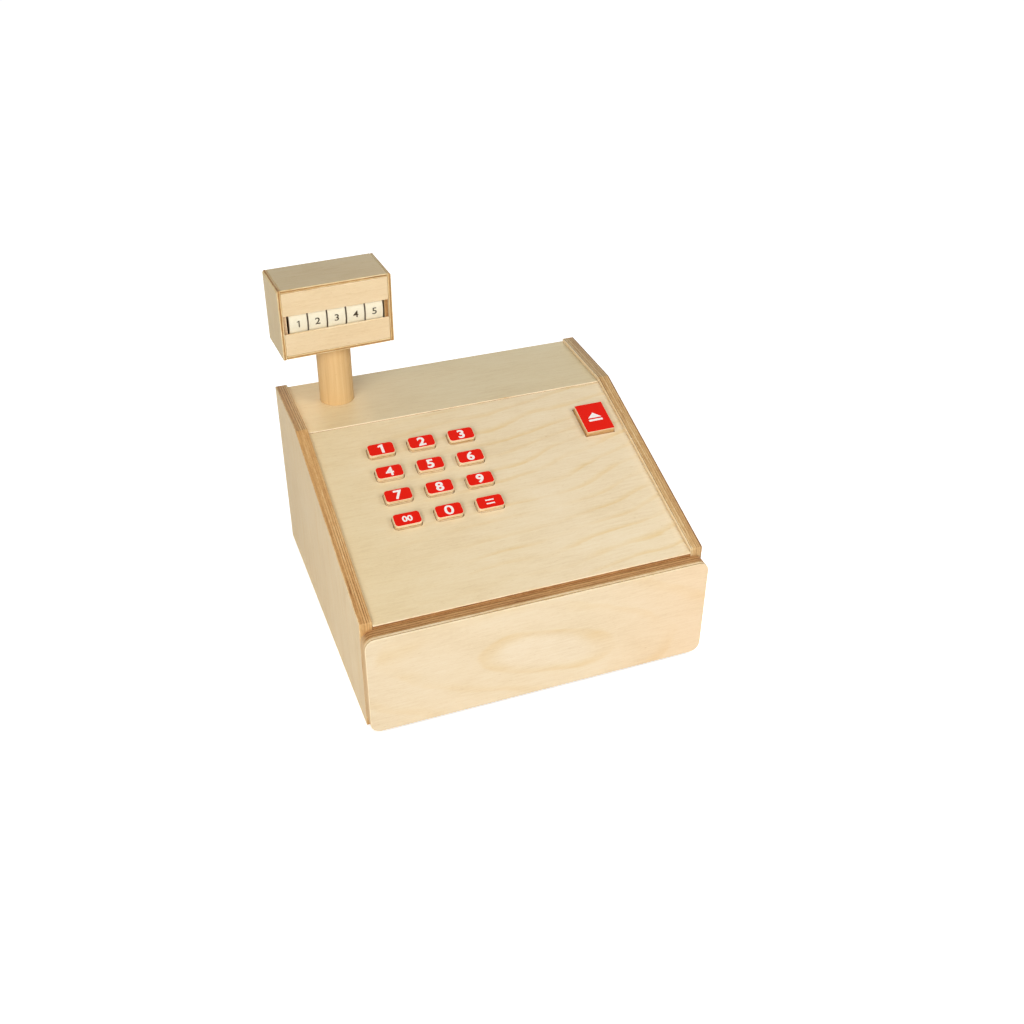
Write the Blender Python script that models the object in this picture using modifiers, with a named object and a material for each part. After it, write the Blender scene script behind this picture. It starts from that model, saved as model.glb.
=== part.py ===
"""A wooden play cash register: a plywood cabinet with a sloping keypad, a drawer, and a number display on a mast.

Lengths are in metres. X runs to the right, Y to the back and Z up. The origin lies under the middle of the cabinet,
on the surface that it stands on. Pieces that touch keep a hairline gap, as glued and fitted boards do.
"""

import math

import bmesh
import bpy
from mathutils import Matrix, Vector

# Gaps, rounding and fineness

joint_gap = 0.0003
slide_gap = 0.001
edge_easing = 0.0006
weld_distance = 0.00001
overrun = 0.002
easing_steps = 2
corner_steps = 4
fine_turn_steps = 36
coarse_turn_steps = 24
sharp_angle = math.radians(35)

# Cabinet boards

cabinet_width = 0.340
cabinet_depth = 0.326
cabinet_height = 0.193
flat_top_depth = 0.0985
front_corner_height = 0.122
side_thickness = 0.012
top_thickness = 0.012
keypad_thickness = 0.009
base_thickness = 0.009
back_thickness = 0.006
back_inset = 0.003
board_recess = 0.0032
seam_lead = 0.0022
keypad_overhang = 0.001
panel_corner_radius = 0.0015

# Small keys

key_width = 0.027
key_depth = 0.0152
key_corner_radius = 0.0035
key_rise = 0.0048
key_pitch_across = 0.0416
key_pitch_along = 0.0302
key_side_margin = 0.0498
key_row_end_margin = 0.0367
key_hole_gap = 0.0008
flange_lip = 0.003
flange_thickness = 0.003
pad_thickness = 0.008
pad_margin = 0.003
shelf_thickness = 0.004
shelf_margin = 0.008

# Cash key and its latch

cash_key_width = 0.031
cash_key_depth = 0.0385
cash_key_corner_radius = 0.0012
cash_key_rise = 0.0056
cash_key_margin = 0.0117
cash_key_end_margin = 0.0361
stem_radius = 0.005
lever_width = 0.008
lever_height = 0.010
lever_clearance = 0.004
lever_front_arm = 0.0384
lever_nose = 0.008
hook_length = 0.006
hook_ramp = 0.012
hook_bite = 0.003
hook_play = 0.0015
latch_pin_radius = 0.003
latch_pin_depth = 0.008
latch_pin_head_radius = 0.0055
latch_pin_head_height = 0.003
spacer_wall = 0.002

# Drawer

drawer_front_thickness = 0.015
drawer_front_bottom = 0.0045
drawer_front_top = 0.1150
drawer_front_corner_radius = 0.010
drawer_front_easing = 0.0012
drawer_side_gap = 0.0015
drawer_wall = 0.009
drawer_floor = 0.004
drawer_side_height = 0.0786
drawer_back_height = 0.0926
drawer_kept_inside = 0.089
divider_thickness = 0.004
divider_height = 0.054
coin_row_depth = 0.100
coin_cups = 4
note_slots = 3
guide_width = 0.014
guide_height = 0.011
guide_setback = 0.003

# Push spring behind the drawer

spring_space = 0.0293
spring_radius = 0.007
spring_wire = 0.0007
spring_height = 0.050
spring_turns = 7
spring_points_per_turn = 10
spring_dowel_radius = 0.004
spring_dowel_share = 0.7

# Mast and display box

mast_radius = 0.0176
mast_side_distance = 0.0566
mast_back_distance = 0.0400
mast_exposed_length = 0.0670
mast_rounding = 0.0008
display_swivel = math.radians(3)
sheet_thickness = 0.0035
display_corner_radius = 0.0025
strip_thickness = 0.003
cheek_thickness = 0.0036
cheek_play = 0.0018
drum_count = 5
drum_radius = 0.0257
drum_width = 0.0185
drum_gap = 0.0008
drum_rounding = 0.0005
drum_strip_gap = 0.0005
drum_floor_gap = 0.0069
drum_ceiling_gap = 0.0079
window_height = 0.0192
axle_radius = 0.003
screw_radius = 0.002
screw_depth = 0.020
screw_head_radius = 0.0045
screw_head_height = 0.0022
washer_radius = 0.0065
washer_thickness = 0.001

# Places that follow from the sizes above

front = -cabinet_depth / 2
back = cabinet_depth / 2
half_width = cabinet_width / 2
panel_face = half_width - side_thickness
board_half = panel_face - joint_gap
slope_break = back - flat_top_depth
slope_angle = math.atan2(cabinet_height - front_corner_height, slope_break - front)
slope_length = math.hypot(cabinet_height - front_corner_height, slope_break - front)
seam = slope_break - seam_lead
top_face = cabinet_height - board_recess
back_panel_front = back - back_inset - back_thickness

flange_top = -keypad_thickness - joint_gap
flange_bottom = flange_top - flange_thickness
pad_top = flange_bottom - joint_gap
pad_bottom = pad_top - pad_thickness
shelf_top = pad_bottom - joint_gap
shelf_bottom = shelf_top - shelf_thickness
key_columns = 3
first_column = key_side_margin + key_width / 2 - panel_face
top_row_distance = slope_length - key_row_end_margin - key_depth / 2
cash_key_x = panel_face - cash_key_margin - cash_key_width / 2
cash_key_distance = slope_length - cash_key_end_margin - cash_key_depth / 2

drawer_half = panel_face - drawer_side_gap
drawer_start = front - keypad_overhang - joint_gap
drawer_bottom_height = base_thickness + joint_gap
drawer_end = back_panel_front - spring_space
drawer_travel = drawer_end - drawer_start - drawer_kept_inside
drawer_back_front = drawer_end - drawer_wall
drawer_back_top = drawer_bottom_height + drawer_back_height
drawer_side_top = drawer_bottom_height + drawer_side_height
drawer_floor_top = drawer_bottom_height + drawer_floor

mast_x = mast_side_distance - half_width
mast_y = back - mast_back_distance
mast_top = top_face + mast_exposed_length
window_half = window_height / 2
display_half_depth = strip_thickness + math.sqrt((drum_radius + drum_strip_gap) ** 2 - window_half**2)
display_height = 2 * sheet_thickness + drum_floor_gap + 2 * drum_radius + drum_ceiling_gap
drums_width = drum_count * drum_width + (drum_count - 1) * drum_gap
cheek_face = drums_width / 2 + cheek_play
display_inner_half = cheek_face + cheek_thickness + joint_gap
display_half_width = display_inner_half + sheet_thickness
axle_height = sheet_thickness + drum_floor_gap + drum_radius


def clear_scene():
    for obj in list(bpy.data.objects):
        bpy.data.objects.remove(obj, do_unlink=True)


def new_collection(name):
    collection = bpy.data.collections.new(name)
    bpy.context.scene.collection.children.link(collection)
    return collection


def finish(name, colour, roughness, metallic=0):
    material = bpy.data.materials.new(name)
    material.use_nodes = True
    shader = material.node_tree.nodes["Principled BSDF"]
    shader.inputs["Base Color"].default_value = (*colour, 1)
    shader.inputs["Roughness"].default_value = roughness
    shader.inputs["Metallic"].default_value = metallic
    return material


clear_scene()
pieces = new_collection("play_cash_register")
helpers = new_collection("cutters_and_guides")
birch = finish("birch_plywood", (0.80, 0.66, 0.44), 0.55)
edge_wood = finish("plywood_core", (0.58, 0.38, 0.20), 0.65)
post_wood = finish("turned_beech", (0.76, 0.55, 0.31), 0.5)
label_red = finish("red_label", (0.76, 0.02, 0.01), 0.35)
drum_cream = finish("cream_drum", (0.86, 0.83, 0.70), 0.4)
steel = finish("bright_steel", (0.6, 0.6, 0.58), 0.3, metallic=1)
foam = finish("grey_foam", (0.25, 0.25, 0.26), 0.9)


def place(name, data, material, location, rotation=(0, 0, 0), parent=None, collection=pieces):
    """Puts an object in the scene, with its location and rotation in its parent's frame."""
    obj = bpy.data.objects.new(name, data)
    collection.objects.link(obj)
    obj.location = location
    obj.rotation_euler = rotation
    obj.parent = parent
    if material and not data.materials:
        data.materials.append(material)
    bpy.context.view_layer.update()
    return obj


def guide(name, location, rotation=(0, 0, 0), parent=None):
    """An empty that pieces are placed from."""
    return place(name, None, None, location, rotation, parent, helpers)


def helper(obj):
    """Keeps an object that only cuts or joins another out of the model."""
    for collection in list(obj.users_collection):
        collection.objects.unlink(obj)
    helpers.objects.link(obj)
    obj.hide_render = True
    obj.display_type = "WIRE"
    return obj


def ease(obj, width=edge_easing):
    """Rounds an object's sharp edges a little, as sanding does."""
    bevel = obj.modifiers.new("eased_edges", "BEVEL")
    bevel.width = width
    bevel.segments = easing_steps
    bevel.limit_method = "ANGLE"
    bevel.angle_limit = sharp_angle
    return obj


def combine(obj, tool, operation):
    """Cuts the tool out of an object, or joins it on."""
    boolean = obj.modifiers.new(operation.lower() + "_" + tool.name, "BOOLEAN")
    boolean.operation = operation
    boolean.object = helper(tool)
    return obj


def settled(obj):
    """Makes the result of an object's modifiers its own mesh, with round sides shaded smooth."""
    graph = bpy.context.evaluated_depsgraph_get()
    mesh = bpy.data.meshes.new_from_object(obj.evaluated_get(graph))
    obj.modifiers.clear()
    obj.data = mesh
    mesh.shade_smooth()
    mesh.set_sharp_from_angle(angle=sharp_angle)
    return obj


def box(name, low, high, material, parent=None):
    """A board between two corners given in its parent's frame."""
    low, high = Vector(low), Vector(high)
    mesh = bpy.data.meshes.new(name)
    shape = bmesh.new()
    bmesh.ops.create_cube(shape, size=1, matrix=Matrix.Diagonal((*(high - low), 1)))
    shape.to_mesh(mesh)
    shape.free()
    return place(name, mesh, material, (low + high) / 2, parent=parent)


def rounded(corners, radius, sharp=()):
    """An outline whose corners become arcs of one radius, apart from those whose indexes are in sharp."""
    points = []
    for index, corner in enumerate(corners):
        corner = Vector(corner)
        if index in sharp:
            points.append(corner)
            continue
        before = (Vector(corners[index - 1]) - corner).normalized()
        after = (Vector(corners[(index + 1) % len(corners)]) - corner).normalized()
        half_angle = before.angle(after) / 2
        centre = corner + (before + after).normalized() * radius / math.sin(half_angle)
        first = corner + before * radius / math.tan(half_angle) - centre
        turn = math.pi - 2 * half_angle
        if before.cross(after) > 0:
            turn = -turn
        for step in range(corner_steps + 1):
            points.append(centre + Matrix.Rotation(turn * step / corner_steps, 2) @ first)
    return points


def plate(name, outline, thickness, material, location=(0, 0, 0), rotation=(0, 0, 0), parent=None):
    """A flat piece of one thickness, centred on its outline's plane."""
    curve = bpy.data.curves.new(name, "CURVE")
    curve.dimensions = "2D"
    curve.fill_mode = "BOTH"
    curve.extrude = thickness / 2
    spline = curve.splines.new("POLY")
    spline.points.add(len(outline) - 1)
    for point, place_2d in zip(spline.points, outline):
        point.co = (*place_2d, 0, 1)
    spline.use_cyclic_u = True
    drawn = place(name + "_outline", curve, material, location, rotation, parent)
    mesh = bpy.data.meshes.new_from_object(drawn.evaluated_get(bpy.context.evaluated_depsgraph_get()))
    bpy.data.objects.remove(drawn)
    shape = bmesh.new()
    shape.from_mesh(mesh)
    bmesh.ops.remove_doubles(shape, verts=shape.verts, dist=weld_distance)
    bmesh.ops.recalc_face_normals(shape, faces=shape.faces)
    shape.to_mesh(mesh)
    shape.free()
    return place(name, mesh, material, location, rotation, parent)


def turned(name, profile, material, location=(0, 0, 0), rotation=(0, 0, 0), parent=None, steps=coarse_turn_steps):
    """A turned piece about its own Z axis. The profile gives (radius, height), down the outer side. One that starts
    and ends on the axis is left open there, and any other is a closed ring."""
    points = [(radius, 0, height) for radius, height in profile]
    edges = [(index, index + 1) for index in range(len(points) - 1)]
    if profile[0][0] > 0:
        edges.append((len(points) - 1, 0))
    mesh = bpy.data.meshes.new(name)
    mesh.from_pydata(points, edges, [])
    obj = place(name, mesh, material, location, rotation, parent)
    screw = obj.modifiers.new("turning", "SCREW")
    screw.steps = steps
    screw.render_steps = steps
    screw.use_merge_vertices = True
    screw.merge_threshold = weld_distance
    return settled(obj)


def rod(name, radius, low, high, material, rounding=0, **where):
    """A round bar between two heights along its own Z axis."""
    profile = [(0, high), (radius - rounding, high), (radius, high - rounding)]
    profile += [(radius, low + rounding), (radius - rounding, low), (0, low)]
    if not rounding:
        profile = [(0, high), (radius, high), (radius, low), (0, low)]
    return turned(name, profile, material, **where)


def ring(name, inner, outer, low, high, material, rounding=0, **where):
    """A round tube between two heights along its own Z axis."""
    profile = [(inner, high), (outer - rounding, high), (outer, high - rounding)]
    profile += [(outer, low + rounding), (outer - rounding, low), (inner, low)]
    if not rounding:
        profile = [(inner, high), (outer, high), (outer, low), (inner, low)]
    return turned(name, profile, material, **where)


def rectangle(half_across, half_along):
    return [
        (-half_across, -half_along),
        (half_across, -half_along),
        (half_across, half_along),
        (-half_across, half_along),
    ]


def on_slope(distance, height):
    """World (y, z) of a place on the keypad: distance up the slope, and height over the keypad board's face."""
    out = height - board_recess
    along = math.cos(slope_angle), math.sin(slope_angle)
    return front + distance * along[0] - out * along[1], front_corner_height + distance * along[1] + out * along[0]


# Turns an outline drawn in X and Y into the world's Y and Z, or X and Z
facing_side = (math.pi / 2, 0, math.pi / 2)
facing_front = (math.pi / 2, 0, 0)
lying_across = (0, math.pi / 2, 0)

slope_frame = guide("slope_frame", (0, *on_slope(0, 0)), (slope_angle, 0, 0))


def side_panels():
    outline = rounded(
        [(front, 0), (back, 0), (back, cabinet_height), (slope_break, cabinet_height), (front, front_corner_height)],
        panel_corner_radius,
    )
    middle = half_width - side_thickness / 2
    ease(plate("left_side_panel", outline, side_thickness, birch, (-middle, 0, 0), facing_side))
    right = ease(plate("right_side_panel", outline, side_thickness, birch, (middle, 0, 0), facing_side))
    hole_radius = latch_pin_radius + joint_gap
    pin_hole = rod(
        "latch_pin_hole", hole_radius, -overrun, latch_pin_depth + joint_gap, None,
        location=(panel_face, latch_y, latch_z), rotation=lying_across,
    )
    combine(right, pin_hole, "DIFFERENCE")


def top_board():
    board = ease(
        box("top_board", (-board_half, seam, top_face - top_thickness), (board_half, back, top_face), birch)
    )
    hole = rod(
        "mast_hole", mast_radius + joint_gap, -top_thickness - overrun, overrun, None,
        location=(mast_x, mast_y, top_face), steps=fine_turn_steps,
    )
    combine(board, hole, "DIFFERENCE")


def key_holes(board):
    """Cuts a hole through the keypad board for each key."""
    deep = keypad_thickness + 2 * overrun
    for name, x, distance in small_key_places():
        outline = rounded(
            rectangle(key_width / 2 + key_hole_gap, key_depth / 2 + key_hole_gap), key_corner_radius + key_hole_gap
        )
        hole = plate(name + "_hole", outline, deep, None, (x, distance, -keypad_thickness / 2), parent=slope_frame)
        combine(board, hole, "DIFFERENCE")
    outline = rectangle(cash_key_width / 2 + key_hole_gap, cash_key_depth / 2 + key_hole_gap)
    place_here = (cash_key_x, cash_key_distance, -keypad_thickness / 2)
    combine(board, plate("cash_key_hole", outline, deep, None, place_here, parent=slope_frame), "DIFFERENCE")


def keypad_board():
    """A board on the slope, with its front and back edges cut upright."""
    face_start = front - keypad_overhang
    face_end = seam - joint_gap
    rise = math.tan(slope_angle)
    front_height = on_slope(0, 0)[1] + (face_start - on_slope(0, 0)[0]) * rise
    end_height = front_height + (face_end - face_start) * rise
    drop = keypad_thickness / math.cos(slope_angle)
    outline = [
        (face_start, front_height - drop), (face_end, end_height - drop), (face_end, end_height),
        (face_start, front_height),
    ]
    board = ease(plate("keypad_board", outline, 2 * board_half, birch, rotation=facing_side))
    key_holes(board)


def back_and_base():
    ease(box("base_board", (-board_half, front, 0), (board_half, back, base_thickness), birch))
    bottom = base_thickness + joint_gap
    top = top_face - top_thickness - joint_gap
    ease(
        box(
            "back_panel", (-board_half, back_panel_front, bottom),
            (board_half, back_panel_front + back_thickness, top), birch,
        )
    )


def guide_strips():
    """Strips over the drawer's sides, whose back ends stop the drawer's back board."""
    start = front + guide_setback
    end = drawer_back_front - drawer_travel - joint_gap
    bottom = drawer_side_top + slide_gap
    for name, side in (("left_guide_strip", -1), ("right_guide_strip", 1)):
        across = sorted((side * board_half, side * (board_half - guide_width)))
        low = (across[0], start, bottom)
        ease(box(name, low, (across[1], end, bottom + guide_height), post_wood))


def small_key_places():
    """(name, x, distance up the slope) of each small key, from the top row down."""
    names = ["key_1", "key_2", "key_3", "key_4", "key_5", "key_6", "key_7", "key_8", "key_9"]
    names += ["key_double_zero", "key_0", "key_equals"]
    places = []
    for index, name in enumerate(names):
        row, column = divmod(index, key_columns)
        places.append((name, first_column + column * key_pitch_across, top_row_distance - row * key_pitch_along))
    return places


def key_piece(name, width, depth, radius, rise, x, distance):
    """A block through the keypad board, with a flange under the board and a red top."""
    where = (x, distance, 0)
    low = flange_bottom + flange_thickness / 2
    outline = rounded(rectangle(width / 2, depth / 2), radius)
    block = plate(name, outline, rise - low, birch, parent=slope_frame)
    block.data.transform(Matrix.Translation((0, 0, (rise + low) / 2)))
    block.location = where
    block.data.materials.append(label_red)
    for face in block.data.polygons:
        if face.center.z > rise - edge_easing:
            face.material_index = 1
    ease(block)
    lip = Vector((width / 2 + flange_lip, depth / 2 + flange_lip, 0))
    flange = box(
        name + "_flange", Vector(where) - lip + Vector((0, 0, flange_bottom)),
        Vector(where) + lip + Vector((0, 0, flange_top)), edge_wood, parent=slope_frame,
    )
    return combine(block, flange, "UNION")


def small_keys():
    for name, x, distance in small_key_places():
        key_piece(name, key_width, key_depth, key_corner_radius, key_rise, x, distance)


def cash_key():
    key = key_piece(
        "cash_key", cash_key_width, cash_key_depth, cash_key_corner_radius, cash_key_rise, cash_key_x,
        cash_key_distance,
    )
    profile = [(0, flange_bottom + flange_thickness / 2), (stem_radius, flange_bottom + flange_thickness / 2)]
    for step in range(corner_steps + 1):
        turn = math.pi / 2 * step / corner_steps
        profile.append((stem_radius * math.cos(turn), -stem_reach - stem_radius * math.sin(turn)))
    profile[-1] = (0, profile[-1][1])
    stem = turned("cash_key_stem", profile, None, (cash_key_x, cash_key_distance, 0), parent=slope_frame)
    combine(key, stem, "UNION")


def shelf_and_pads():
    """A shelf under the keys, and the foam between it and the keys' flanges."""
    places = small_key_places()
    left = places[0][1] - key_width / 2 - flange_lip - pad_margin
    right = places[-1][1] + key_width / 2 + flange_lip + pad_margin
    near = places[-1][2] - key_depth / 2 - flange_lip - pad_margin
    far = places[0][2] + key_depth / 2 + flange_lip + pad_margin
    box("key_return_pad", (left, near, pad_bottom), (right, far, pad_top), foam, slope_frame)
    half_across = cash_key_width / 2 + flange_lip
    half_along = cash_key_depth / 2 + flange_lip
    cash_near, cash_far = cash_key_distance - half_along, cash_key_distance + half_along
    pad = box(
        "cash_return_pad", (cash_key_x - half_across, cash_near, pad_bottom),
        (cash_key_x + half_across, cash_far, pad_top), foam, slope_frame,
    )
    shelf = box(
        "key_shelf", (-board_half, min(near, cash_near) - shelf_margin, shelf_bottom),
        (board_half, max(far, cash_far) + shelf_margin, shelf_top), birch, slope_frame,
    )
    for board, top, bottom in ((pad, pad_top, pad_bottom), (shelf, shelf_top, shelf_bottom)):
        hole = rod(
            board.name + "_stem_hole", stem_radius + slide_gap, bottom - overrun, top + overrun, None,
            location=(cash_key_x, cash_key_distance, 0), parent=slope_frame,
        )
        combine(board, hole, "DIFFERENCE")


def latch():
    """A lever on a pin: the stem pushes its front end down, and the hook lifts clear of the drawer's back board."""
    hook_back = drawer_back_front - hook_play - latch_y
    hook_bottom = drawer_back_top - hook_bite - latch_z
    half = lever_height / 2
    nose = -lever_front_arm - lever_nose
    outline = [
        (nose, -half), (hook_back - hook_length - hook_ramp, -half), (hook_back - hook_length, hook_bottom),
        (hook_back, hook_bottom), (hook_back, half), (nose, half),
    ]
    where = (cash_key_x, latch_y, latch_z)
    lever = plate("latch_lever", outline, lever_width, edge_wood, where, facing_side)
    bore = rod(
        "latch_lever_bore", latch_pin_radius + joint_gap, -lever_width, lever_width, None, location=where,
        rotation=lying_across,
    )
    ease(lever)
    combine(lever, bore, "DIFFERENCE")
    inner = -lever_width / 2 - joint_gap
    outer = panel_face - cash_key_x + latch_pin_depth
    head = latch_pin_head_radius
    profile = [
        (0, outer), (latch_pin_radius, outer), (latch_pin_radius, inner), (head, inner),
        (head, inner - latch_pin_head_height / 2), (head / 2, inner - latch_pin_head_height),
        (0, inner - latch_pin_head_height),
    ]
    turned("latch_pin", profile, steel, where, lying_across)
    ring(
        "latch_spacer", latch_pin_radius + joint_gap, latch_pin_radius + joint_gap + spacer_wall,
        lever_width / 2 + joint_gap, panel_face - cash_key_x - joint_gap, post_wood, location=where,
        rotation=lying_across,
    )


def drawer_box():
    outline = rounded(
        [
            (-half_width, drawer_front_bottom), (half_width, drawer_front_bottom), (half_width, drawer_front_top),
            (-half_width, drawer_front_top),
        ],
        drawer_front_corner_radius,
    )
    face = plate(
        "drawer_front", outline, drawer_front_thickness, birch,
        (0, drawer_start - drawer_front_thickness / 2, 0), facing_front,
    )
    ease(face, drawer_front_easing)
    near = drawer_start + joint_gap
    far = drawer_back_front - joint_gap
    for name, side in (("drawer_left_side", -1), ("drawer_right_side", 1)):
        across = sorted((side * drawer_half, side * (drawer_half - drawer_wall)))
        low = (across[0], near, drawer_bottom_height)
        ease(box(name, low, (across[1], far, drawer_side_top), birch))
    ease(
        box(
            "drawer_back", (-drawer_half, drawer_back_front, drawer_bottom_height),
            (drawer_half, drawer_end, drawer_back_top), birch,
        )
    )
    inside = drawer_half - drawer_wall - joint_gap
    box("drawer_bottom", (-inside, near, drawer_bottom_height), (inside, far, drawer_floor_top), birch)
    dividers(inside, near, far)


def dividers(inside, near, far):
    """One board across the drawer, with coin cups in front of it and note slots behind."""
    bottom = drawer_floor_top + joint_gap
    top = bottom + divider_height
    cross_near = near + coin_row_depth
    cross_far = cross_near + divider_thickness
    ease(box("cross_divider", (-inside, cross_near, bottom), (inside, cross_far, top), birch))
    rows = (
        ("coin_divider", coin_cups, near, cross_near - joint_gap),
        ("note_divider", note_slots, cross_far + joint_gap, far),
    )
    for name, count, start, end in rows:
        for index in range(1, count):
            x = -inside + 2 * inside * index / count
            low = (x - divider_thickness / 2, start, bottom)
            ease(box(f"{name}_{index}", low, (x + divider_thickness / 2, end, top), birch))


def push_spring():
    """A compressed coil on a dowel, between the back panel and the drawer's back board."""
    start = drawer_end + joint_gap + spring_wire
    end = back_panel_front - joint_gap - spring_wire
    steps = spring_turns * spring_points_per_turn
    curve = bpy.data.curves.new("drawer_spring", "CURVE")
    curve.dimensions = "3D"
    curve.bevel_depth = spring_wire
    curve.bevel_resolution = 1
    curve.use_fill_caps = True
    spline = curve.splines.new("POLY")
    spline.points.add(steps)
    for index, point in enumerate(spline.points):
        turn = math.tau * index / spring_points_per_turn
        along = start + (end - start) * index / steps
        point.co = (spring_radius * math.cos(turn), along, spring_height + spring_radius * math.sin(turn), 1)
    place("drawer_spring", curve, steel, (0, 0, 0))
    length = (back_panel_front - drawer_end) * spring_dowel_share
    rod(
        "spring_dowel", spring_dowel_radius, joint_gap, length, post_wood, rounding=edge_easing,
        location=(0, back_panel_front, spring_height), rotation=facing_front,
    )


def mast():
    rod(
        "mast_post", mast_radius, top_face - top_thickness, mast_top, post_wood, rounding=mast_rounding,
        location=(mast_x, mast_y, 0), steps=fine_turn_steps,
    )
    post = bpy.data.objects["mast_post"]
    hole = rod(
        "mast_screw_hole", screw_radius + joint_gap, mast_top - screw_depth - joint_gap, mast_top + overrun, None,
        location=(mast_x, mast_y, 0),
    )
    combine(post, hole, "DIFFERENCE")
    washer_bottom = joint_gap + sheet_thickness + joint_gap
    head_bottom = washer_bottom + washer_thickness + joint_gap
    profile = [
        (0, head_bottom + screw_head_height), (screw_head_radius / 2, head_bottom + screw_head_height),
        (screw_head_radius, head_bottom + screw_head_height / 2), (screw_head_radius, head_bottom),
        (screw_radius, head_bottom), (screw_radius, -screw_depth), (0, -screw_depth),
    ]
    turned("swivel_screw", profile, steel, (mast_x, mast_y, mast_top))
    ring(
        "swivel_washer", screw_radius + joint_gap, washer_radius, washer_bottom, washer_bottom + washer_thickness,
        steel, location=(mast_x, mast_y, mast_top),
    )


display_frame = guide("display_frame", (mast_x, mast_y, mast_top + joint_gap), (0, 0, display_swivel))


def display_shell():
    """Sides outside, with their top corners rounded off, top and bottom between them, and strips that leave a window
    in front and behind."""
    depth = display_half_depth
    for name, side in (("display_left_side", -1), ("display_right_side", 1)):
        inner, outer = side * display_inner_half, side * display_half_width
        corners = [(outer, display_height), (outer, 0), (inner, 0), (inner, display_height)]
        outline = rounded(corners, display_corner_radius, sharp=(1, 2, 3))
        ease(plate(name, outline, 2 * depth, birch, rotation=facing_front, parent=display_frame))
    half = display_inner_half - joint_gap
    bottom = ease(box("display_bottom", (-half, -depth, 0), (half, depth, sheet_thickness), birch, display_frame))
    hole = rod(
        "swivel_hole", screw_radius + joint_gap, -overrun, sheet_thickness + overrun, None, parent=display_frame
    )
    combine(bottom, hole, "DIFFERENCE")
    top_low = display_height - sheet_thickness
    ease(box("display_top", (-half, -depth, top_low), (half, depth, display_height), birch, display_frame))
    levels = (
        ("lower", sheet_thickness + joint_gap, axle_height - window_half),
        ("upper", axle_height + window_half, top_low - joint_gap),
    )
    for side, face in (("front", -1), ("back", 1)):
        across = sorted((face * depth, face * (depth - strip_thickness)))
        for level, low, high in levels:
            ease(box(f"{side}_{level}_strip", (-half, across[0], low), (half, across[1], high), birch, display_frame))


def display_drums():
    """Number drums on an axle, which two cheeks carry."""
    cheek_half_depth = display_half_depth - strip_thickness - joint_gap
    cheek_low = sheet_thickness + joint_gap
    cheek_high = display_height - sheet_thickness - joint_gap
    for name, side in (("left_cheek", -1), ("right_cheek", 1)):
        across = sorted((side * cheek_face, side * (cheek_face + cheek_thickness)))
        cheek = box(
            name, (across[0], -cheek_half_depth, cheek_low), (across[1], cheek_half_depth, cheek_high), edge_wood,
            display_frame,
        )
        hole = rod(
            name + "_hole", axle_radius + joint_gap, across[0] - overrun, across[1] + overrun, None,
            location=(0, 0, axle_height), rotation=lying_across, parent=display_frame,
        )
        combine(cheek, hole, "DIFFERENCE")
    reach = display_inner_half - joint_gap
    rod(
        "drum_axle", axle_radius, -reach, reach, steel, location=(0, 0, axle_height), rotation=lying_across,
        parent=display_frame,
    )
    for index in range(drum_count):
        x = (index - (drum_count - 1) / 2) * (drum_width + drum_gap)
        ring(
            f"number_drum_{index + 1}", axle_radius + joint_gap, drum_radius, -drum_width / 2, drum_width / 2,
            drum_cream, rounding=drum_rounding, location=(x, 0, axle_height), rotation=lying_across,
            parent=display_frame, steps=fine_turn_steps,
        )


# The stem's round end stands over the lever's front arm, which fixes where the lever's pin goes

latch_z = drawer_back_top + lever_clearance + lever_height / 2
stem_end_height = latch_z + lever_height / 2 + joint_gap + stem_radius
stem_reach = (on_slope(cash_key_distance, 0)[1] - stem_end_height) / math.cos(slope_angle)
latch_y = on_slope(cash_key_distance, -stem_reach)[0] + lever_front_arm

side_panels()
top_board()
keypad_board()
back_and_base()
guide_strips()
small_keys()
cash_key()
shelf_and_pads()
latch()
drawer_box()
push_spring()
mast()
display_shell()
display_drums()
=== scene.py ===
"""Looks of a wooden play cash register: birch plywood with striped edges, red labels with white figures,
and number drums. Lengths are in metres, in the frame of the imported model. Colours are written as they look
on a screen."""

import math

import bmesh
import bpy
from mathutils import Matrix, Vector

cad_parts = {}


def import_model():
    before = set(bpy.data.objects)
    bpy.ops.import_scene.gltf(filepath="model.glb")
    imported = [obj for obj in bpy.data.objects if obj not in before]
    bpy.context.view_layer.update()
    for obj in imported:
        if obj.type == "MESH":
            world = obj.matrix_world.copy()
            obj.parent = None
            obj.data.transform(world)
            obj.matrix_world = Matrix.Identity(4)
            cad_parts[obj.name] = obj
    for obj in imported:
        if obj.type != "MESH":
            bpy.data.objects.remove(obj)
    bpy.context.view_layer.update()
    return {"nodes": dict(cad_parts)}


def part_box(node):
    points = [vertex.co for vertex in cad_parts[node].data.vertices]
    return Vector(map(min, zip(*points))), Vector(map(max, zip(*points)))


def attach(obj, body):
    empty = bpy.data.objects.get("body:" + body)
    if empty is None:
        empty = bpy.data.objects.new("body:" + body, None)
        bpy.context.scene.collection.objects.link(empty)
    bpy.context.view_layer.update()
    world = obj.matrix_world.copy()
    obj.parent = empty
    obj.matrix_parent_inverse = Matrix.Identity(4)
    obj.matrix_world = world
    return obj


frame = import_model()

# Directions of the model, from the cabinet's sizes and the display's turn on its mast

cabinet_height, front_height = 0.193, 0.122
cabinet_depth, flat_top_depth = 0.326, 0.0985
slope_angle = math.atan2(cabinet_height - front_height, cabinet_depth - flat_top_depth)
display_swivel = math.radians(3)
right, inward, up = Vector((1, 0, 0)), Vector((0, 1, 0)), Vector((0, 0, 1))
slope_turn = Matrix.Rotation(slope_angle, 3, "X")
slope_up, slope_normal = slope_turn @ inward, slope_turn @ up
display_turn = Matrix.Rotation(display_swivel, 3, "Z")
display_right, display_inward = display_turn @ right, display_turn @ inward

# Labels, prints and figures

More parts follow.
